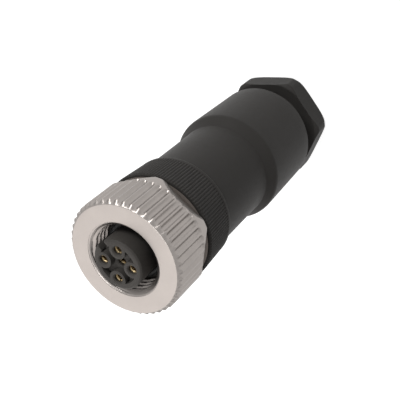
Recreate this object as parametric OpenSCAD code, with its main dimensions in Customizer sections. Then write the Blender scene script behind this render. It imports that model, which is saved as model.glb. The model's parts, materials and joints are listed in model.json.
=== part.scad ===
// Field-wired M12 circular connector: straight female plug, five contacts, A coding,
// screw terminals and a screwed cable gland. It stands on the gland's hexagon with its
// mating face up and one flat of the hexagon to the front.
// Sections are drawn as [radius, s], where s is the distance behind the coupling
// nut's front face when the nut is pushed back against the collar.

/* [Body] */
// Largest diameter of the grip sleeve, which the nut, collar and hexagon follow
grip_d = 20; // [19.6:0.1:21]
// Step in radius from the grip sleeve in to the coupling nut's ridges
nut_inset = 0.1; // [0:0.05:0.5]
// Step in radius from the nut's ridges in to the front of the knurled collar
collar_inset = 0.2; // [0:0.05:0.6]
// How far the hexagon's rounded corners stand out past the grip sleeve
corner_stand = 0.1; // [0:0.05:0.2]
// How far the hexagon's flats lie inside the grip sleeve's surface
flat_inset = 1; // [0.8:0.1:1.5]

/* [Coupling nut] */
// Length of the coupling nut
nut_len = 9.4; // [9:0.1:11]
// Number of grip ridges round the nut
nut_ridges = 48; // [24:1:54]
// Depth of the grooves between the ridges
knurl_depth = 0.4; // [0.2:0.05:0.5]
// Length of the ridges, from the front face to the end of their run-out
knurl_len = 7.3; // [5:0.1:7.5]
// Chamfer round the front face of the nut
nut_chamfer = 0.67; // [0.3:0.05:1]
// Rounding of the corners at the nut's rear edge
nut_rear_round = 0.7; // [0.3:0.1:1]
// Width across the sloping spanner flats, at the nut's rear edge
nut_flats = 17.3; // [16.8:0.1:18.4]
// Slope of those flats against the axis
nut_flat_slope = 25; // [15:1:35]
// Turn of the nut, at rest, from the gland's hexagon
nut_turn = -16; // [-30:1:30]
// Diameter of the countersunk mouth of the nut
mouth_d = 12.6; // [12.2:0.1:13.2]
// Major diameter of the coupling thread
thread_d = 12; // [11.9:0.05:12.1]
// Pitch of the coupling thread
thread_pitch = 1; // [0.75:0.25:1]
// How far the nut slides forward from rest
nut_travel = 1.5; // [0.5:0.1:1.6]

/* [Contact insert] */
// Diameter of the insert's nose
nose_d = 8.4; // [8.2:0.05:8.6]
// How far the nose stands out of the pushed back nut
nose_reach = 1.5; // [0:0.1:2.5]
// Diameter of the circle that the four outer contacts stand on
contact_circle = 5; // [4.9:0.05:5.1]
// Diameter of the holes in the face
socket_hole_d = 1.4; // [1.4:0.05:1.5]
// Bore of the gold socket contacts
socket_bore_d = 1.05; // [0.9:0.05:1.1]
// Diameter of the boss round each outer hole
boss_d = 2.75; // [2.4:0.05:2.9]
// Depth of the cross shaped recess between the bosses
recess_depth = 1.1; // [0.5:0.1:2]
// Width of the coding slot in the nose
key_w = 1.5; // [1:0.1:1.6]
// Depth of the coding slot below the nose's surface
key_depth = 1.1; // [0.8:0.05:1.2]
// Turn of the contact pattern from the hexagon's flats
pattern_turn = -12; // [-45:1:45]

/* [Knurled collar] */
// Loss of diameter from the collar's front to its rear
collar_taper = 0.65; // [0:0.05:1]
// Length of the collar
collar_len = 7.1; // [5:0.1:9]
// Number of fine ridges round the collar
collar_ridges = 120; // [60:2:140]
// Depth of the fine ridges
collar_ridge_depth = 0.15; // [0.1:0.05:0.3]
// Diameter of the stem that the coupling nut runs on
stem_d = 11.3; // [11:0.1:11.6]
// Length of the thread that the grip sleeve screws onto
spigot_len = 4.5; // [3.5:0.1:5.5]

/* [Grip sleeve] */
// Diameter of the neck
neck_d = 17.5; // [17:0.1:18]
// Wall of the neck, outside the thread that it screws onto
neck_wall = 1.85; // [1.6:0.05:2.1]
// Length of the neck
neck_len = 14.3; // [12:0.1:18]
// Loss of diameter from the flare to the rear edge
grip_taper = 0.5; // [0:0.05:0.8]
// Length behind the neck, flare included
grip_len = 17.2; // [16.5:0.1:22]
// Slope of the flare against the axis
flare_angle = 35; // [25:1:50]
// Radius of the hollow round at the foot of the flare
flare_foot_r = 0.8; // [0.4:0.1:2]
// Radius of the round at the top of the flare
flare_top_r = 1.5; // [0.5:0.1:3]
// Rounding of the sleeve's rear edge
sleeve_edge_r = 0.5; // [0.2:0.1:0.8]

/* [Cable gland] */
// Length of the hexagon
hex_len = 4.4; // [3:0.1:6]
// Chamfer at both ends of the hexagon
hex_chamfer = 0.7; // [0.3:0.05:1]
// Diameter over the gland thread
gland_d = 15.2; // [15:0.1:15.6]
// Pitch of the gland thread
gland_pitch = 1.41; // [1:0.01:1.5]
// Length of the gland thread
gland_thread_len = 8.1; // [7.5:0.1:9]
// Gap between sleeve and hexagon, with the gland loosely screwed in
gland_gap = 3.8; // [2:0.1:4]
// Bore for the cable
cable_bore_d = 9.8; // [8:0.1:10]
// Bore of the rubber cable seal
seal_bore_d = 6.2; // [5:0.1:7]
// Number of clamping fingers
finger_count = 8; // [6:1:12]

/* [Clearances] */
// Radial play of a screw thread or a running fit
thread_play = 0.05; // [0.03:0.01:0.1]
// Play between faces that turn against each other
face_play = 0.1; // [0.05:0.05:0.2]
// Radial play of a contact in its chamber
contact_play = 0.03; // [0.02:0.01:0.06]

/* [Hidden] */
$fn = 96;
eps = 0.01;

// Radii
grip_r = grip_d / 2;
nut_r = grip_r - nut_inset;
collar_r = nut_r - collar_inset;
hex_corner_r = grip_r + corner_stand;
hex_flat_r = grip_r - flat_inset;
nut_thread_crest_r = thread_d / 2 - 0.54 * thread_pitch;
nose_r = nose_d / 2;
stem_r = stem_d / 2;
neck_r = neck_d / 2;
spigot_r = neck_r - neck_wall;
gland_r = gland_d / 2;
cable_bore_r = cable_bore_d / 2;
contact_circle_r = contact_circle / 2;

// Nut: inner rim that runs on the stem, and the cavity in front of it
rim_len = 2.1;
rim_r = stem_r + thread_play + 0.1;
rim_front = nut_len - rim_len;
cavity_r = stem_r + 1.35;
ring_len = 0.7;
ring_rear = rim_front - nut_travel - face_play;
ring_front = ring_rear - ring_len;
cavity_front = ring_front - 0.4;
cavity_slope = 0.4;
damper_len = 1;
damper_front = rim_front + (rim_len - damper_len) / 2;
damper_r = rim_r + 0.7;

// Insert and carrier
nose_face = -nose_reach;
stem_front = ring_front - 0.7;
nose_ring_r = 0.5;
seal_land_r = nose_r - 0.25;
seal_land_front = stem_front - 2 * nose_ring_r - 0.1;
shoulder_len = 2;
shoulder_r = nose_r + 0.8;
shoulder_front = nut_len + 1.6;
insert_rear = shoulder_front + shoulder_len;
insert_play = 0.05;

// Places along the axis
collar_front = nut_len + 0.25;
collar_rear = collar_front + collar_len;
spigot_rear = collar_rear + spigot_len;
sleeve_front = collar_rear + face_play;
flare_front = sleeve_front + neck_len;
sleeve_rear = flare_front + grip_len;
hex_front = sleeve_rear + gland_gap;
hex_rear = hex_front + hex_len;
gland_front = hex_front - gland_thread_len;

// Terminal block and contacts
block_front = insert_rear + 0.05;
block_head_front = spigot_rear + 0.2;
block_len = 7.6;
block_rear = block_head_front + block_len;
block_r = spigot_r - 0.4;
chamber_r = 1;
contact_r = chamber_r - contact_play;
contact_front = nose_face + 0.6;
socket_depth = 7;
clamp_chamber_r = 1.15;
clamp_r = clamp_chamber_r - contact_play;
clamp_front = block_head_front + 0.6;
clamp_len = block_rear - clamp_front - 0.8;
clamp_mid = clamp_front + clamp_len / 2;
wire_r = 0.7;
screw_r = 1;
screw_tip_r = 0.5;
screw_head_r = block_r - 0.15;

// Sleeve inside
seal_ring_r = 0.45;
seal_ring_s = sleeve_front + 1.2;
seal_ring_mid_r = spigot_r + thread_play + seal_ring_r;
sleeve_bore_r = spigot_r + thread_play;
gland_bore_r = gland_r + thread_play;
washer_len = 0.9;
washer_front = gland_front - face_play - washer_len;
cage_rear = washer_front - eps;
cage_len = 9.1;
cage_front = cage_rear - cage_len;
cage_r = gland_r - 0.4;
cage_wall = 1.1;
cage_taper_len = 3.4;
cage_ring_len = 3;
tighten_travel = gland_gap - face_play;
gland_bore_front = cage_front + cage_taper_len - tighten_travel - 0.4;
gland_cone_len = 1.6;

// Points of an arc about [x, y], from angle a to angle b
function arc(x, y, r, a, b, n = 6) =
    [for (i = [0:n]) let (t = a + (b - a) * i / n) [x + r * cos(t), y + r * sin(t)]];

// Crests and roots of a thread's section along s, from s0 over a given length
function thread_points(s0, len, crest, root, pitch) =
    let (turns = floor(len / pitch), lead = (len - turns * pitch) / 2)
    [for (i = [0:turns - 1], q = [0:3])
        [(q == 1 || q == 2) ? root : crest,
         s0 + lead + (i + [0.08, 0.46, 0.54, 0.92][q]) * pitch]];

function reversed(p) = [for (i = [len(p) - 1:-1:0]) p[i]];

// Stands a piece that is drawn along s on the hexagon, mating face up
module stand() translate([0, 0, hex_rear]) rotate([0, 180, 0]) children();

// Turns a piece to an angle on the mating face, anticlockwise from -X
module at_angle(a) rotate([0, 0, -a]) children();

module ring(r_in, r_out, s0, s1)
    rotate_extrude() polygon([[r_in, s0], [r_out, s0], [r_out, s1], [r_in, s1]]);

module knurl_groove(len) {
    cut_r = 0.5;
    translate([nut_r + cut_r - knurl_depth, 0, -1]) {
        cylinder(r = cut_r, h = 1 + len - cut_r, $fn = 24);
        translate([0, 0, 1 + len - cut_r]) sphere(r = cut_r, $fn = 24);
    }
}

module coupling_nut() {
    face_r = nut_r - nut_chamfer;
    rear_r = nut_r - nut_rear_round;
    mouth_r = mouth_d / 2;
    sink = mouth_r - nut_thread_crest_r;
    thread_end = cavity_front - cavity_slope;
    color([0.72, 0.70, 0.67]) stand() at_angle(nut_turn) difference() {
        rotate_extrude() polygon(concat(
            [[mouth_r, 0], [face_r, 0], [nut_r, nut_chamfer]],
            arc(rear_r, nut_len - nut_rear_round, nut_rear_round, 0, 90),
            [[rim_r, nut_len],
             [rim_r, damper_front + damper_len], [damper_r, damper_front + damper_len],
             [damper_r, damper_front], [rim_r, damper_front],
             [rim_r, rim_front], [cavity_r, rim_front], [cavity_r, cavity_front]],
            reversed(thread_points(sink, thread_end - sink,
                nut_thread_crest_r, thread_d / 2, thread_pitch))));
        for (i = [0:nut_ridges - 1])
            rotate([0, 0, i * 360 / nut_ridges]) knurl_groove(knurl_len);
        for (i = [0:5]) rotate([0, 0, i * 60]) nut_flat();
    }
}

// Cuts one spanner flat, which slopes inwards to the nut's rear edge
module nut_flat()
    translate([nut_flats / 2, 0, nut_len]) rotate([0, -nut_flat_slope, 0])
        translate([0, -nut_r, -2 * nut_r]) cube([nut_r, 2 * nut_r, 3 * nut_r]);

module damping_ring() {
    color([0.10, 0.10, 0.10]) stand()
        ring(stem_r + thread_play, damper_r - thread_play,
             damper_front + thread_play, damper_front + damper_len - thread_play);
}

module retaining_ring() {
    opening = 36;
    color([0.62, 0.62, 0.64]) stand() rotate_extrude(start = opening / 2, angle = 360 - opening)
        polygon([
            [stem_r - 0.5, ring_front], [stem_r + 0.75, ring_front],
            [stem_r + 0.75, ring_rear], [stem_r - 0.5, ring_rear]]);
}

// Places its children at the four outer contacts
module at_contacts() {
    for (i = [0:3])
        at_angle(pattern_turn + 180 - 90 * i) translate([contact_circle_r, 0, 0]) children();
}

module contact_insert() {
    edge = 0.25;
    recess_r = contact_circle_r + 0.7;
    color([0.13, 0.13, 0.13]) stand() difference() {
        rotate_extrude() polygon([
            [0, nose_face], [nose_r - edge, nose_face], [nose_r, nose_face + edge],
            [nose_r, seal_land_front], [seal_land_r, seal_land_front],
            [seal_land_r, shoulder_front], [shoulder_r, shoulder_front],
            [shoulder_r, insert_rear], [0, insert_rear]]);
        // Cross shaped recess left between the bosses
        translate([0, 0, nose_face - 1]) linear_extrude(recess_depth + 1) difference() {
            circle(r = recess_r);
            at_contacts() circle(d = boss_d, $fn = 48);
        }
        // Coding slot, along the whole nose
        at_angle(pattern_turn + 135)
            translate([nose_r - key_depth, -key_w / 2, nose_face - 1])
                cube([key_depth + 1, key_w, stem_front - nose_face + 1]);
        at_contacts() chamber();
        chamber(recess_depth);
    }
}

// Hole for one contact through the insert, whose mouth lies some way behind the face
module chamber(mouth = 0) {
    lead = 0.2;
    translate([0, 0, nose_face - 1])
        cylinder(d = socket_hole_d, h = insert_rear - nose_face + 1 + eps, $fn = 32);
    translate([0, 0, nose_face + mouth - eps])
        cylinder(r1 = socket_hole_d / 2 + lead, r2 = socket_hole_d / 2, h = lead, $fn = 32);
    translate([0, 0, contact_front + mouth])
        cylinder(r = chamber_r, h = insert_rear - contact_front, $fn = 32);
}

module nose_seal() {
    color([0.08, 0.08, 0.08]) stand()
        rotate_extrude()
            translate([seal_land_r + nose_ring_r + 0.01, stem_front - nose_ring_r - 0.01])
                circle(r = nose_ring_r, $fn = 24);
}

// Turned socket contact: slotted spring socket in front, screw clamp behind
module contact(angle, away, mouth = 0) {
    bore_r = socket_bore_d / 2;
    front = contact_front + mouth;
    slot_w = 0.18;
    color([0.83, 0.66, 0.30]) stand() at_angle(angle) translate([away, 0, 0]) difference() {
        rotate_extrude($fn = 48) polygon([
            [bore_r + 0.1, front], [contact_r - 0.1, front], [contact_r, front + 0.2],
            [contact_r, clamp_front], [clamp_r, clamp_front],
            [clamp_r, clamp_front + clamp_len], [wire_r, clamp_front + clamp_len],
            [wire_r, clamp_front + 1], [0, clamp_front + 1],
            [0, front + socket_depth], [bore_r, front + socket_depth],
            [bore_r, front + 0.15]]);
        translate([-contact_r - 1, -slot_w / 2, front - 1])
            cube([2 * contact_r + 2, slot_w, 1 + socket_depth * 0.6]);
        translate([0, 0, clamp_mid])
            rotate([0, 90, 0]) cylinder(r = screw_tip_r + 0.05, h = clamp_r + 1, $fn = 24);
    }
}

module socket_contact_1() { contact(pattern_turn + 180, contact_circle_r); }

module socket_contact_2() { contact(pattern_turn + 90, contact_circle_r); }

module socket_contact_3() { contact(pattern_turn, contact_circle_r); }

module socket_contact_4() { contact(pattern_turn - 90, contact_circle_r); }

module socket_contact_5() { contact(pattern_turn + 45, 0, recess_depth); }

// Chamber for one contact through the terminal block, with a funnel for the wire
module clamp_chamber() {
    translate([0, 0, block_front - 1])
        cylinder(r = chamber_r, h = clamp_front - block_front + 1 + eps, $fn = 32);
    translate([0, 0, clamp_front]) cylinder(r = clamp_chamber_r, h = clamp_len + 0.05, $fn = 32);
    translate([0, 0, clamp_front + clamp_len]) cylinder(r = wire_r + 0.1, h = 2, $fn = 32);
    translate([0, 0, block_rear - 0.35])
        cylinder(r1 = wire_r + 0.1, r2 = wire_r + 0.6, h = 0.5, $fn = 32);
}

// Radial hole for a clamp screw, whose wide part starts at radius r
module screw_hole(r, tip_r) {
    translate([0, 0, clamp_mid]) rotate([0, 90, 0]) {
        translate([0, 0, tip_r]) cylinder(r = screw_tip_r + 0.08, h = block_r - tip_r, $fn = 24);
        translate([0, 0, r]) cylinder(r = screw_r + 0.04, h = block_r - r + 1, $fn = 24);
    }
}

module terminal_block() {
    color([0.16, 0.16, 0.16]) stand() difference() {
        rotate_extrude() polygon([
            [0, block_front], [shoulder_r, block_front], [shoulder_r, block_head_front],
            [block_r - 0.2, block_head_front], [block_r, block_head_front + 0.2],
            [block_r, block_rear - 0.4], [block_r - 0.4, block_rear], [0, block_rear]]);
        at_contacts() clamp_chamber();
        clamp_chamber();
        for (i = [0:3])
            at_angle(pattern_turn + 180 - 90 * i)
                screw_hole(contact_circle_r + clamp_r + 0.2, contact_circle_r);
        at_angle(pattern_turn + 45) screw_hole(contact_circle_r + clamp_r + 1, 0);
    }
}

// Slotted clamp screw lying along a radius, with a plain tip
module clamp_screw(r, tip_r) {
    translate([0, 0, clamp_mid]) rotate([0, 90, 0]) difference() {
        union() {
            translate([0, 0, tip_r]) cylinder(r = screw_tip_r, h = r - tip_r + eps, $fn = 24);
            translate([0, 0, r]) cylinder(r = screw_r, h = screw_head_r - r, $fn = 24);
        }
        translate([-screw_r - 1, -0.15, screw_head_r - 0.5]) cube([2 * screw_r + 2, 0.3, 1]);
    }
}

module terminal_screws() {
    color([0.60, 0.60, 0.62]) stand() {
        for (i = [0:3])
            at_angle(pattern_turn + 180 - 90 * i)
                clamp_screw(contact_circle_r + clamp_r + 0.25, contact_circle_r + wire_r);
        at_angle(pattern_turn + 45)
            clamp_screw(contact_circle_r + clamp_r + 1.05, wire_r);
    }
}

module knurled_collar() {
    rear_r = collar_r - collar_taper / 2;
    shoulder = 0.75;
    shoulder_drop = 0.35;
    ridge_len = collar_len - shoulder;
    bore_r = seal_land_r + insert_play;
    spigot_bore_r = shoulder_r + insert_play;
    groove_r = stem_r - 0.5 - 0.02;
    color([0.11, 0.10, 0.10]) stand() intersection() {
        rotate_extrude() polygon(concat(
            [[bore_r, stem_front], [stem_r - 0.2, stem_front], [stem_r, stem_front + 0.2],
             [stem_r, ring_front - 0.02], [groove_r, ring_front - 0.02],
             [groove_r, ring_rear + 0.02], [stem_r, ring_rear + 0.02], [stem_r, collar_front],
             [collar_r - 0.3, collar_front], [collar_r, collar_front + 0.3],
             [rear_r, collar_rear - shoulder]],
            arc(rear_r - shoulder_drop, collar_rear - shoulder_drop, shoulder_drop, 30, 90, 3),
            [[spigot_r - 0.5, collar_rear], [spigot_r - 0.5, collar_rear + 0.3]],
            thread_points(collar_rear + 0.3, spigot_len - 0.3, spigot_r, spigot_r - 0.5, 1),
            [[spigot_bore_r, spigot_rear], [spigot_bore_r, shoulder_front - insert_play],
             [bore_r, shoulder_front - insert_play]]));
        union() {
            // Fine ridges that follow the taper, with a smooth rim behind them
            translate([0, 0, collar_front])
                linear_extrude(ridge_len, scale = rear_r / collar_r) ridged_disc(collar_r + 0.02);
            translate([0, 0, collar_front + ridge_len - eps])
                cylinder(r = collar_r + 1, h = spigot_len + shoulder + 1);
            translate([0, 0, stem_front - 1])
                cylinder(r = collar_r - 1, h = collar_front - stem_front + 1 + eps);
        }
    }
}

// Round plate whose edge is cut into the collar's fine ridges
module ridged_disc(r) {
    step = 360 / collar_ridges;
    polygon([for (i = [0:collar_ridges - 1], q = [0:2])
        let (a = (i + [0.08, 0.5, 0.92][q]) * step, d = q == 1 ? collar_ridge_depth : 0)
        [(r - d) * cos(a), (r - d) * sin(a)]]);
}

module housing_seal() {
    color([0.09, 0.09, 0.09]) stand()
        rotate_extrude() translate([seal_ring_mid_r, seal_ring_s]) circle(r = seal_ring_r, $fn = 24);
}

module grip_sleeve() {
    rear_r = grip_r - grip_taper / 2;
    rise = grip_r - neck_r;
    foot_rise = flare_foot_r * (1 - cos(flare_angle));
    top_rise = flare_top_r * (1 - cos(flare_angle));
    foot_len = flare_foot_r * sin(flare_angle);
    slope_len = (rise - foot_rise - top_rise) / tan(flare_angle);
    top_s = flare_front + foot_len + slope_len + flare_top_r * sin(flare_angle);
    groove_half = seal_ring_r + thread_play;
    color([0.12, 0.12, 0.12]) stand() rotate_extrude() polygon(concat(
        [[sleeve_bore_r, sleeve_front], [neck_r - 0.25, sleeve_front],
         [neck_r, sleeve_front + 0.25]],
        arc(neck_r + flare_foot_r, flare_front, flare_foot_r, 180, 180 - flare_angle),
        arc(grip_r - flare_top_r, top_s, flare_top_r, -flare_angle, 0),
        arc(rear_r - sleeve_edge_r, sleeve_rear - sleeve_edge_r, sleeve_edge_r, 0, 90, 4),
        [[gland_bore_r + 0.3, sleeve_rear], [gland_bore_r, sleeve_rear - 0.3],
         [gland_bore_r, gland_bore_front], [sleeve_bore_r, gland_bore_front - gland_cone_len],
         [sleeve_bore_r, seal_ring_s + groove_half],
         [seal_ring_mid_r + groove_half, seal_ring_s + groove_half],
         [seal_ring_mid_r + groove_half, seal_ring_s - groove_half],
         [sleeve_bore_r, seal_ring_s - groove_half]]));
}

module cable_seal() {
    outer_r = cage_r - cage_wall - 0.05;
    front = cage_front + 0.6;
    rear = cage_rear - 0.3;
    bore_r = seal_bore_d / 2;
    lip = 0.35;
    lips = 3;
    lip_step = (rear - front) / (lips + 1);
    color([0.07, 0.07, 0.07]) stand() rotate_extrude() polygon(concat(
        [[bore_r + 0.6, front], [outer_r - 0.6, front], [outer_r, front + 0.8],
         [outer_r, rear], [bore_r + 0.6, rear]],
        [for (i = [lips:-1:1], q = [1, 0, -1])
            [bore_r + (q == 0 ? 0 : lip), front + i * lip_step + q * 0.5]]));
}

module clamping_cage() {
    slot_w = 1.1;
    finger_len = cage_len - cage_ring_len;
    inner_r = cage_r - cage_wall;
    color([0.20, 0.20, 0.20]) stand() difference() {
        rotate_extrude() polygon([
            [inner_r, cage_front], [inner_r + 0.35, cage_front],
            [cage_r, cage_front + cage_taper_len], [cage_r, cage_rear],
            [inner_r, cage_rear]]);
        for (i = [0:finger_count - 1])
            rotate([0, 0, i * 360 / finger_count])
                translate([inner_r - 1, -slot_w / 2, cage_front - 1])
                    cube([cage_wall + 2, slot_w, finger_len + 1]);
    }
}

module thrust_washer() {
    color([0.75, 0.75, 0.72]) stand()
        ring(cable_bore_r, cage_r, washer_front, washer_front + washer_len);
}

module gland_nut() {
    mouth_r = cable_bore_r + 1.4;
    color([0.12, 0.12, 0.13]) stand() difference() {
        union() {
            intersection() {
                translate([0, 0, hex_front]) cylinder(r = hex_flat_r / cos(30), h = hex_len, $fn = 6);
                rotate_extrude() polygon(concat(
                    [[0, hex_front], [hex_corner_r - hex_chamfer, hex_front],
                     [hex_corner_r, hex_front + hex_chamfer * 0.6]],
                    arc(hex_corner_r - hex_chamfer * 1.5, hex_rear - hex_chamfer * 1.5,
                        hex_chamfer * 1.5, 0, 90),
                    [[0, hex_rear]]));
            }
            rotate_extrude() polygon(concat(
                [[0, gland_front], [gland_r - 0.7, gland_front]],
                thread_points(gland_front + 0.4, gland_thread_len - 0.8,
                    gland_r, gland_r - 0.55, gland_pitch),
                [[gland_r - 0.5, hex_front - 0.3], [gland_r - 0.5, hex_front + eps],
                 [0, hex_front + eps]]));
        }
        translate([0, 0, gland_front - 1])
            cylinder(r = cable_bore_r, h = hex_rear - gland_front + 2);
        // Rounded mouth for the cable
        rotate_extrude() polygon(concat(
            [[cable_bore_r - 0.5, hex_rear - 1.4]],
            arc(mouth_r, hex_rear - 1.4, 1.4, 180, 90),
            [[mouth_r, hex_rear + 1], [cable_bore_r - 0.5, hex_rear + 1]]));
    }
}

coupling_nut();
damping_ring();
retaining_ring();
contact_insert();
nose_seal();
socket_contact_1();
socket_contact_2();
socket_contact_3();
socket_contact_4();
socket_contact_5();
terminal_block();
terminal_screws();
knurled_collar();
housing_seal();
grip_sleeve();
cable_seal();
clamping_cage();
thrust_washer();
gland_nut();
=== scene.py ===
# Looks of the M12 circular connector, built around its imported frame. All lengths are metres.
# It stands on its gland with the mating face up. Every turned piece is a closed outline of
# (radius, s) points swept round the connector's axis, where s is the depth below the coupling
# nut's front face. Grip grooves, ridges, threads and the hexagon are changes of the radius
# with the angle.
import json
import math

import bmesh
import bpy
import numpy as np
from mathutils import Matrix, Vector

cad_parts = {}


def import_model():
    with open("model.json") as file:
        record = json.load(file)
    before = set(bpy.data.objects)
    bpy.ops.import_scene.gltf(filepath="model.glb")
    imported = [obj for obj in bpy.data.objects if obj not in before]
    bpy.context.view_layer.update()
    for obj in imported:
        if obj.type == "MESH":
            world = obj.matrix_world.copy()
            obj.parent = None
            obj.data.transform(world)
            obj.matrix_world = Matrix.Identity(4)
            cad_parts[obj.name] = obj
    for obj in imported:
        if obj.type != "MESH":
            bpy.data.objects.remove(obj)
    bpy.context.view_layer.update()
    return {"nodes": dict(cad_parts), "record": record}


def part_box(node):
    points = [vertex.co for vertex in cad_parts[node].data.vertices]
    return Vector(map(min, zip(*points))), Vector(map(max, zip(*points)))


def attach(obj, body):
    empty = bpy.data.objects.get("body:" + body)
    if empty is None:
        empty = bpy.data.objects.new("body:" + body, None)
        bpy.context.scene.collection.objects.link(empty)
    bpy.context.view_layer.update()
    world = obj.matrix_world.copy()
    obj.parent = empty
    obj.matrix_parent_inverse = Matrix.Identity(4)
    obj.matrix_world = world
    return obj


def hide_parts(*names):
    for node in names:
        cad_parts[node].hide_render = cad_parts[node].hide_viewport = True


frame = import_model()

MM = 0.001


# ---- Places taken from the frame ----------------------------------------------------------

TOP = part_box("coupling_nut")[1].z


def span(node):
    """First s, last s and outer radius of a CAD node."""
    low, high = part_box(node)
    return TOP - high.z, TOP - low.z, (high.y - low.y) / 2


NUT_FRONT, NUT_REAR, NUT_R = span("coupling_nut")
STEM_FRONT, SPIGOT_REAR, COLLAR_R = span("knurled_collar")
SLEEVE_FRONT, SLEEVE_REAR, GRIP_R = span("grip_sleeve")
GLAND_FRONT, GLAND_REAR, HEX_FLAT_R = span("gland_nut")
HEX_CORNER_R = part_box("gland_nut")[1].x


# ---- Outlines -----------------------------------------------------------------------------

def arc(r, s, radius, start, end, steps=8):
    """Points of an arc about (r, s); angles in degrees, 0 along +r and 90 along +s."""
    angles = np.radians(np.linspace(start, end, steps + 1))
    return [(r + radius * math.cos(a), s + radius * math.sin(a)) for a in angles]


def rounded(points, radius, steps=3):
    """A closed outline with every corner rounded, as far as its sides allow."""
    out = []
    count = len(points)
    for i in range(count):
        before, here, after = (np.array(points[(i + k) % count]) for k in (-1, 0, 1))
        back, ahead = before - here, after - here
        cut = min(radius, 0.4 * np.linalg.norm(back), 0.4 * np.linalg.norm(ahead))
        a = here + back / np.linalg.norm(back) * cut
        b = here + ahead / np.linalg.norm(ahead) * cut
        for t in np.linspace(0, 1, steps + 1):
            out.append(tuple((1 - t) ** 2 * a + 2 * t * (1 - t) * here + t * t * b))
    return out


def line(r, start, end, step):
    """Points along a straight stretch of constant radius, ends included."""
    count = max(1, math.ceil(abs(end - start) / step))
    return [(r, start + (end - start) * i / count) for i in range(count + 1)]


def smooth_min(a, b, soft):
    """The lesser of a and b, rounded over where they cross."""
    h = np.clip(0.5 + 0.5 * (b - a) / soft, 0, 1)
    return b + (a - b) * h - soft * h * (1 - h)


def thread(angle, s, start, end, crest, root, pitch, fade=0.5 * MM):
    """Radius of a right-hand thread between start and end, dying out at both ends."""
    phase = (s / pitch + angle / (2 * math.pi)) % 1
    flank = np.clip(np.abs(phase - 0.5) * 3.2 - 0.2, 0, 1)
    run_out = np.clip((s - start) / fade, 0, 1) * np.clip((end - s) / fade, 0, 1)
    return crest + (root - crest) * (1 - flank) * run_out


# ---- Meshes -------------------------------------------------------------------------------

def placed(piece, body, slot, replaced=()):
    """Give a piece its material, its body and the CAD nodes that it stands for."""
    piece.data.materials.clear()
    piece.data.materials.append(MATERIALS[slot])
    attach(piece, body)
    if replaced:
        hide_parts(*replaced)
    return piece


def made(name, mesh, sharp=50):
    """Link a mesh as a smooth object whose edges over `sharp` degrees stay crisp."""
    mesh.shade_smooth()
    mesh.set_sharp_from_angle(angle=math.radians(sharp))
    piece = bpy.data.objects.new(name, mesh)
    bpy.context.scene.collection.objects.link(piece)
    return piece


def turned(name, outline, columns, shape=None, sharp=50):
    """A closed outline swept round the axis. shape(angle, r, s) gives the changed radius."""
    r, s = (np.array(v)[:, None] for v in zip(*outline))
    angle = np.linspace(0, 2 * math.pi, columns, endpoint=False)[None, :]
    radius = r + 0 * angle if shape is None else shape(angle, r, s)
    co = np.stack([radius * np.cos(angle), radius * np.sin(angle), TOP - s + 0 * radius],
                  axis=-1).reshape(-1, 3)
    rows = np.arange(len(outline))[:, None]
    cols = np.arange(columns)[None, :]
    next_row, next_col = (rows + 1) % len(outline), (cols + 1) % columns
    faces = np.stack([rows * columns + cols, next_row * columns + cols,
                      next_row * columns + next_col, rows * columns + next_col],
                     axis=-1).reshape(-1, 4)
    mesh = bpy.data.meshes.new(name)
    mesh.from_pydata(co.tolist(), [], faces.tolist())
    turn_outwards(mesh)
    return made(name, mesh, sharp)


def turn_outwards(mesh):
    """Make every face of a closed mesh look outwards."""
    b = bmesh.new()
    b.from_mesh(mesh)
    bmesh.ops.recalc_face_normals(b, faces=b.faces)
    b.to_mesh(mesh)
    b.free()


def softened(name, node, width, segments=2):
    """A copy of a CAD node with every sharp edge rounded."""
    b = bmesh.new()
    b.from_mesh(frame["nodes"][node].data)
    bmesh.ops.remove_doubles(b, verts=b.verts, dist=1e-7)
    bmesh.ops.dissolve_limit(b, angle_limit=math.radians(1), verts=b.verts, edges=b.edges)
    mesh = bpy.data.meshes.new(name)
    b.to_mesh(mesh)
    b.free()
    rough = bpy.data.objects.new(name + "_edges", mesh)
    bpy.context.scene.collection.objects.link(rough)
    bevel = rough.modifiers.new("edges", "BEVEL")
    bevel.width = width
    bevel.segments = segments
    bevel.limit_method = "ANGLE"
    bevel.angle_limit = math.radians(35)
    bevel.use_clamp_overlap = True
    shaped = rough.evaluated_get(bpy.context.evaluated_depsgraph_get())
    mesh = bpy.data.meshes.new_from_object(shaped)
    bpy.data.objects.remove(rough)
    return made(name, mesh, 40)


# ---- Materials ----------------------------------------------------------------------------

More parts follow.
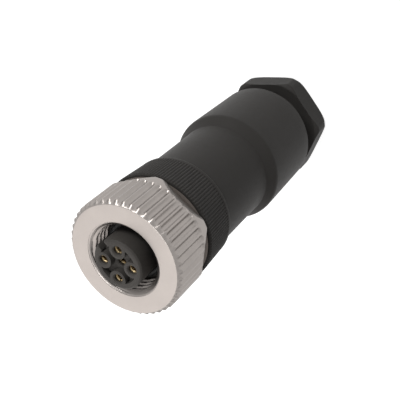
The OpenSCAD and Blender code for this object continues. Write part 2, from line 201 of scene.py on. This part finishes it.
class Nodes:
    """Short hand for a material's node tree."""

    def __init__(self, name):
        self.material = bpy.data.materials.new(name)
        self.material.use_nodes = True
        self.tree = self.material.node_tree
        self.shader = self.tree.nodes["Principled BSDF"]

    def add(self, kind, links=(), **values):
        node = self.tree.nodes.new(kind)
        for key, value in values.items():
            if hasattr(node, key):
                setattr(node, key, value)
            else:
                node.inputs[key.replace("_", " ")].default_value = value
        for socket, source in dict(links).items():
            self.tree.links.new(source, node.inputs[socket])
        return node

    def link(self, source, socket):
        self.tree.links.new(source, self.shader.inputs[socket])

    def place(self):
        return self.add("ShaderNodeTexCoord").outputs["Object"]

    def noise(self, scale, detail=3.0, roughness=0.5, vector=None):
        links = {"Vector": vector if vector is not None else self.place()}
        return self.add("ShaderNodeTexNoise", links, Scale=scale, Detail=detail,
                        Roughness=roughness).outputs["Fac"]

    def between(self, source, low, high, from_low=0.0, from_high=1.0):
        node = self.add("ShaderNodeMapRange", {"Value": source})
        for socket, value in (("From Min", from_low), ("From Max", from_high),
                              ("To Min", low), ("To Max", high)):
            node.inputs[socket].default_value = value
        return node.outputs["Result"]

    def mix(self, factor, a, b):
        node = self.tree.nodes.new("ShaderNodeMix")
        node.data_type = "RGBA"
        self.tree.links.new(factor, node.inputs[0])
        for socket, value in ((node.inputs[6], a), (node.inputs[7], b)):
            if isinstance(value, tuple):
                socket.default_value = value
            else:
                self.tree.links.new(value, socket)
        return node.outputs[2]

    def bump(self, height, strength, distance, normal=None):
        node = self.add("ShaderNodeBump", {"Height": height})
        node.inputs["Strength"].default_value = strength
        node.inputs["Distance"].default_value = distance
        if normal is not None:
            self.tree.links.new(normal, node.inputs["Normal"])
        return node.outputs["Normal"]


def grey(value, warm=0.0):
    return (value * (1 + warm), value, value * (1 - warm), 1.0)


def nickel():
    """Satin nickel plating: faint clouding and a little grain."""
    n = Nodes("nickel")
    cloud = n.noise(260.0, 4.0)
    n.link(n.mix(cloud, (0.27, 0.248, 0.234, 1), (0.32, 0.293, 0.275, 1)), "Base Color")
    n.shader.inputs["Metallic"].default_value = 1.0
    n.link(n.between(n.noise(900.0, 3.0), 0.30, 0.42), "Roughness")
    grain = n.bump(n.noise(9000.0, 2.0), 0.12, 0.00002)
    n.link(grain, "Normal")
    return n.material


def moulded(name, low, high, roughness, grain_scale=5200.0, grain=0.25, shine=0.4):
    """Moulded black plastic with a fine spark-eroded grain and faint clouding."""
    n = Nodes(name)
    n.link(n.mix(n.noise(160.0, 3.0), low, high), "Base Color")
    n.link(n.between(n.noise(1400.0, 2.0), roughness - 0.05, roughness + 0.06), "Roughness")
    n.shader.inputs["Specular IOR Level"].default_value = shine
    n.link(n.bump(n.noise(grain_scale, 2.0), grain, 0.00003), "Normal")
    return n.material


def metal(name, colour, roughness):
    n = Nodes(name)
    darker = tuple(0.82 * c for c in colour[:3]) + (1.0,)
    n.link(n.mix(n.noise(700.0, 3.0), darker, colour), "Base Color")
    n.shader.inputs["Metallic"].default_value = 1.0
    n.link(n.between(n.noise(1500.0, 2.0), roughness - 0.06, roughness + 0.06), "Roughness")
    return n.material


MATERIALS = {
    "nickel": nickel(),
    "black_plastic": moulded("black_plastic", grey(0.034, 0.06), grey(0.041, 0.06), 0.5, shine=0.07),
    "insert_plastic": moulded("insert_plastic", grey(0.040, 0.08), grey(0.050, 0.08), 0.5, shine=0.1),
    "cage_plastic": moulded("cage_plastic", grey(0.06), grey(0.08), 0.5),
    "rubber": moulded("rubber", grey(0.012), grey(0.02), 0.62, 3000.0, 0.35),
    "gold": metal("gold", (0.66, 0.52, 0.30, 1), 0.42),
    "steel": metal("steel", (0.55, 0.55, 0.56, 1), 0.35),
}


# ---- Pieces -------------------------------------------------------------------------------

def coupling_nut():
    rear, radius = NUT_REAR, NUT_R
    chamfer, rear_round = 0.67 * MM, 0.7 * MM
    mouth, crest, root, pitch = 6.3 * MM, 5.46 * MM, 6.0 * MM, 1.0 * MM
    rim_r, cavity_r = 5.8 * MM, 7.0 * MM
    rim_front, cavity_front = 7.3 * MM, 4.6 * MM
    thread_front, thread_rear = mouth - crest, cavity_front - 0.4 * MM
    ridges, cut_r, depth, runout = 48, 0.5 * MM, 0.4 * MM, 7.3 * MM
    flat_r, flat_slope, turn = 8.65 * MM, math.tan(math.radians(25)), math.radians(164)
    centre_r = radius + cut_r - depth
    grooves_end = runout - cut_r
    outer = rounded([(mouth, 0), (radius - chamfer, 0), (radius, chamfer),
                     (radius, 2 * chamfer), (mouth + MM, 3 * chamfer)], 0.08 * MM, 3)
    outer = [p for p in outer if p[1] < 1.9 * chamfer]
    side = line(radius, 1.9 * chamfer, grooves_end - 0.3 * MM, 1.5 * MM)
    side += line(radius, grooves_end - 0.2 * MM, rear - rear_round - 0.02 * MM, 0.07 * MM)
    back = arc(radius - rear_round, rear - rear_round, rear_round, 0, 90, 9)
    inner = rounded([(radius - 2 * MM, rear), (rim_r, rear), (rim_r, rim_front),
                     (cavity_r, rim_front), (cavity_r, cavity_front), (crest, thread_rear),
                     (crest, thread_rear - 0.3 * MM), (radius - 2 * MM, thread_rear)],
                    0.1 * MM, 2)
    inner = [p for p in inner if not (p[0] > radius - 2.4 * MM and p[1] < rear - 0.1 * MM)]
    inner = [p for p in inner if p[1] > thread_rear - 0.001 * MM]
    step = pitch / 14
    turns = [(crest, s) for s in np.arange(thread_rear - 0.05 * MM, thread_front, -step)]
    sink = [(mouth - s, s) for s in np.arange(thread_front, 0.1 * MM, -step)]
    outline = outer + side + back + inner + turns + sink

    def shape(angle, r, s):
        step = 2 * math.pi / ridges
        off = (angle - turn + step / 2) % step - step / 2
        over = 0.8 * np.maximum(0, s - grooves_end)
        reach = np.maximum(0, cut_r ** 2 - over ** 2 - (centre_r * np.sin(off)) ** 2)
        groove = np.where(reach > 0, centre_r * np.cos(off) - np.sqrt(reach), radius * 2)
        knurled = smooth_min(r + 0 * groove, groove, 0.06 * MM)
        sector = (angle - turn + math.pi / 6) % (math.pi / 3) - math.pi / 6
        flat = (flat_r + (rear - s) * flat_slope) / np.cos(sector)
        outside = (r > radius - 1.4 * MM) & (s < rear)
        hexagonal = np.where(outside, smooth_min(knurled, flat, 0.05 * MM), r)
        cut = thread(angle, s, -pitch, thread_rear + MM, crest, root, pitch)
        in_thread = (r < mouth - 0.1 * MM) & (s < thread_rear)
        return np.where(in_thread, np.maximum(r, cut), hexagonal)

    piece = turned("coupling_nut_shell", outline, ridges * 10, shape)
    placed(piece, "nut", "nickel", ["coupling_nut"])


def knurled_collar():
    front, rear = NUT_REAR + 0.25 * MM, SLEEVE_FRONT - 0.1 * MM
    rear_r = COLLAR_R - 0.325 * MM
    rim, drop, ridges, depth = 0.75 * MM, 0.35 * MM, 120, 0.15 * MM
    spigot_r, stem_r, ring_seat_r = 6.9 * MM, 5.65 * MM, 5.13 * MM
    inner_r, shoulder_r = 6.2 * MM, 6.4 * MM
    ridge_end = rear - rim
    slope = (COLLAR_R - rear_r) / (ridge_end - front)
    edge = 0.3 * MM
    outline = [(inner_r, front)] + arc(COLLAR_R - edge, front + edge, edge, -90, 0, 4)
    for s in list(np.linspace(front + 0.5 * MM, ridge_end - 0.3 * MM, 5)) \
            + list(np.linspace(ridge_end - 0.2 * MM, ridge_end + 0.1 * MM, 7)):
        outline.append((COLLAR_R - (min(s, ridge_end) - front) * slope, s))
    outline += arc(rear_r - drop, rear - drop, drop, 0, 90, 5)
    outline += [(inner_r, rear)]

    def shape(angle, r, s):
        step = 2 * math.pi / ridges
        off = np.abs((angle / step) % 1 - 0.5) * 2
        groove = depth * (1 - np.clip(off * 1.12, 0, 1)) ** 1.1
        fade = np.clip((ridge_end - s) / (0.15 * MM), 0, 1)
        fade = fade * np.clip((r - (COLLAR_R - 0.5 * MM)) / (0.12 * MM), 0, 1)
        return r - groove * fade

    piece = turned("collar_ring", outline, ridges * 6, shape, 70)
    placed(piece, "core", "black_plastic", ["knurled_collar"])

    bore, land, seat = 4.0 * MM, 5.05 * MM, 10.95 * MM
    ring_front, ring_rear = 5.0 * MM, 5.7 * MM
    core = rounded([(bore, STEM_FRONT), (stem_r, STEM_FRONT), (stem_r, ring_front),
                    (ring_seat_r, ring_front), (ring_seat_r, ring_rear), (stem_r, ring_rear),
                    (stem_r, front + edge), (shoulder_r, front + edge),
                    (shoulder_r, rear - edge)], 0.12 * MM, 2)
    turns = [(spigot_r, s) for s in np.arange(rear + 0.3 * MM, SPIGOT_REAR - 0.1 * MM, MM / 12)]
    back = rounded([(spigot_r - 0.5 * MM, SPIGOT_REAR), (land, SPIGOT_REAR), (land, seat),
                    (bore, seat)], 0.05 * MM, 1)
    outline = core + turns + back

    def screw(angle, r, s):
        cut = thread(angle, s, rear + 0.2 * MM, SPIGOT_REAR, spigot_r - 0.5 * MM, spigot_r, MM)
        return np.where((r > spigot_r - 0.001 * MM) & (s > rear), cut, r)

    placed(turned("collar_spigot", outline, 180, screw), "core", "black_plastic")


def grip_sleeve():
    front, rear, radius = SLEEVE_FRONT, SLEEVE_REAR, GRIP_R
    neck, taper, edge = 8.75 * MM, 0.25 * MM, 0.5 * MM
    slope, foot_r, top_r = 35, 0.8 * MM, 1.5 * MM
    flare = front + 14.3 * MM
    tilt = math.radians(slope)
    rise = (radius - neck) - (foot_r + top_r) * (1 - math.cos(tilt))
    top_s = flare + (foot_r + top_r) * math.sin(tilt) + rise / math.tan(tilt)
    bore, gland_bore, gland_bore_front = 6.95 * MM, 7.65 * MM, 34.74 * MM
    seal_s, seal_r, half = front + 1.2 * MM, 7.4 * MM, 0.5 * MM
    outline = [(bore, front)] + arc(neck - 0.25 * MM, front + 0.25 * MM, 0.25 * MM, -90, 0, 5)
    outline += line(neck, front + MM, flare - 0.5 * MM, 3 * MM)
    outline += arc(neck + foot_r, flare, foot_r, 180, 180 - slope, 10)
    outline += arc(radius - top_r, top_s, top_r, -slope, 0, 12)
    outline += [(radius - taper * f, top_s + (rear - edge - top_s) * f) for f in (0.2, 0.5, 0.8)]
    outline += arc(radius - taper - edge, rear - edge, edge, 0, 90, 7)
    outline += rounded([(gland_bore + 0.35 * MM, rear), (gland_bore, rear - 0.35 * MM),
                        (gland_bore, gland_bore_front), (bore, gland_bore_front - 1.6 * MM),
                        (bore, seal_s + half), (seal_r + half, seal_s + half),
                        (seal_r + half, seal_s - half), (bore, seal_s - half)], 0.06 * MM, 2)
    placed(turned("grip_sleeve_shell", outline, 224), "sleeve", "black_plastic", ["grip_sleeve"])


def gland_nut():
    front, rear = GLAND_FRONT, GLAND_REAR
    hex_front, chamfer = rear - 4.4 * MM, 0.7 * MM
    bore, mouth_round, pitch = 4.9 * MM, 1.4 * MM, 1.41 * MM
    crest, root = 7.6 * MM, 7.05 * MM
    back_round = 1.5 * chamfer
    turns = [(crest, s) for s in np.arange(front + 0.35 * MM, hex_front - 0.25 * MM, pitch / 16)]
    outline = [(bore, front), (crest - 0.7 * MM, front)] + turns
    outline += [(root, hex_front)]
    outline += [(r * MM, hex_front) for r in (7.6, 8.2, 8.6, 8.85, 9.0, 9.15)]
    outline += rounded([(9.2 * MM, hex_front), (HEX_CORNER_R - chamfer, hex_front),
                        (HEX_CORNER_R, hex_front + 0.6 * chamfer),
                        (HEX_CORNER_R, hex_front + 1.2 * chamfer)], 0.2 * MM, 3)[4:12]
    outline += line(HEX_CORNER_R, hex_front + 1.3 * chamfer, rear - back_round - 0.1 * MM, 0.4 * MM)
    outline += arc(HEX_CORNER_R - back_round, rear - back_round, back_round, 0, 90, 12)
    outline += [(r * MM, rear) for r in (8.6, 7.6, 6.8)]
    outline += arc(bore + mouth_round, rear - mouth_round, mouth_round, 90, 180, 8)
    outline += line(bore, rear - mouth_round - 0.3 * MM, front + 0.4 * MM, 3 * MM)

    def shape(angle, r, s):
        sector = (angle + math.pi / 6) % (math.pi / 3) - math.pi / 6
        flat = HEX_FLAT_R / np.cos(math.pi / 6 - np.abs(sector))
        sharp = smooth_min(r + 0 * flat, flat, 0.10 * MM)
        cut = thread(angle, s, front + 0.3 * MM, hex_front + 0.3 * MM, root, crest, pitch)
        in_hex = (s >= hex_front - 0.001 * MM) & (r > HEX_FLAT_R - 0.6 * MM)
        in_thread = (r > crest - 0.001 * MM) & (s < hex_front - 0.1 * MM)
        return np.where(in_hex, sharp, np.where(in_thread, cut, r))

    piece = turned("gland_nut_shell", outline, 360, shape, 42)
    placed(piece, "gland", "black_plastic", ["gland_nut"])


def contact_insert():
    piece = softened("insert_face", "contact_insert", 0.06 * MM)
    placed(piece, "core", "insert_plastic", ["contact_insert"])


coupling_nut()
knurled_collar()
grip_sleeve()
gland_nut()
contact_insert()

for node_name, node in frame["nodes"].items():
    row = next(s for s in frame["record"]["subparts"] if s["node"] == node_name)
    node.data.materials.clear()
    node.data.materials.append(MATERIALS[row["material_slot"]])
    node.data.shade_smooth()
    node.data.set_sharp_from_angle(angle=math.radians(30))


# ---- Stage --------------------------------------------------------------------------------

FLOOR_GLOW = 0.8
WORLD_LIGHT = 0.28


def seen_strength(tree, socket, unseen, seen):
    """Strength of a background: seen by the camera and in mirrors and glass, or only as light."""
    path = tree.nodes.new("ShaderNodeLightPath")
    total = path.outputs["Is Camera Ray"]
    for ray in ("Is Glossy Ray", "Is Transmission Ray"):
        either = tree.nodes.new("ShaderNodeMath")
        either.operation = "MAXIMUM"
        tree.links.new(total, either.inputs[0])
        tree.links.new(path.outputs[ray], either.inputs[1])
        total = either.outputs[0]
    strength = tree.nodes.new("ShaderNodeMapRange")
    tree.links.new(total, strength.inputs["Value"])
    strength.inputs["To Min"].default_value = unseen
    strength.inputs["To Max"].default_value = seen
    tree.links.new(strength.outputs["Result"], socket)


def floor():
    n = Nodes("floor")
    n.shader.inputs["Base Color"].default_value = (0.45, 0.45, 0.45, 1)
    n.shader.inputs["Roughness"].default_value = 0.9
    glow = n.add("ShaderNodeEmission")
    glow.inputs["Color"].default_value = (1, 1, 1, 1)
    seen_strength(n.tree, glow.inputs["Strength"], 0.0, FLOOR_GLOW)
    total = n.add("ShaderNodeAddShader")
    n.tree.links.new(n.shader.outputs[0], total.inputs[0])
    n.tree.links.new(glow.outputs[0], total.inputs[1])
    n.tree.links.new(total.outputs[0], n.tree.nodes["Material Output"].inputs["Surface"])
    mesh = bpy.data.meshes.new("floor")
    size = 3.0
    mesh.from_pydata([(-size, -size, 0), (size, -size, 0), (size, size, 0), (-size, size, 0)],
                     [], [(0, 1, 2, 3)])
    mesh.materials.append(n.material)
    piece = bpy.data.objects.new("floor", mesh)
    bpy.context.scene.collection.objects.link(piece)


def world():
    w = bpy.data.worlds.new("studio")
    bpy.context.scene.world = w
    w.use_nodes = True
    tree = w.node_tree
    background = tree.nodes["Background"]
    seen_strength(tree, background.inputs["Strength"], WORLD_LIGHT, 1.0)
    background.inputs["Color"].default_value = (1, 1, 1, 1)


def lamp(name, place, aim, power, size, colour=(1, 1, 1)):
    light = bpy.data.lights.new(name, "AREA")
    light.energy = power
    light.color = colour
    light.shape = "DISK"
    light.size = size
    o = bpy.data.objects.new(name, light)
    o.location = place
    o.rotation_euler = (Vector(aim) - Vector(place)).to_track_quat("-Z", "Y").to_euler()
    o.visible_camera = False
    bpy.context.scene.collection.objects.link(o)


def camera():
    """The photograph's camera: above the front left, looking down on the mating face."""
    lying = Matrix(((-1, 0, 0, 0), (0, 0, -1, 0), (0, -1, 0, 0), (0, 0, 0, 1)))
    azimuth, elevation, roll = math.radians(33.46), math.radians(25.62), math.radians(-9.77)
    data = bpy.data.cameras.new("camera")
    data.sensor_fit = "HORIZONTAL"
    data.sensor_width = 36
    data.lens = 72
    data.clip_start = 0.005
    o = bpy.data.objects.new("camera", data)
    turn = (Matrix.Rotation(azimuth, 4, "Z") @ Matrix.Rotation(math.pi / 2 - elevation, 4, "X")
            @ Matrix.Rotation(roll, 4, "Z"))
    offset = Vector((67.89, -80.04, 56.18)) * MM
    o.matrix_world = Matrix.Translation((0, 0, TOP)) @ lying @ Matrix.Translation(offset) @ turn
    bpy.context.scene.collection.objects.link(o)
    bpy.context.scene.camera = o


floor()
world()
camera()
middle = (0, 0, TOP / 2)
lamp("key", (0.05, -0.34, 0.24), middle, 0.9, 0.14)
lamp("card", (0.12, 0.22, 0.22), middle, 0.75, 0.5, (1.0, 0.96, 0.94))
lamp("top", (0, 0, 0.5), middle, 0.6, 0.16)
bpy.context.scene.view_settings.view_transform = "Standard"
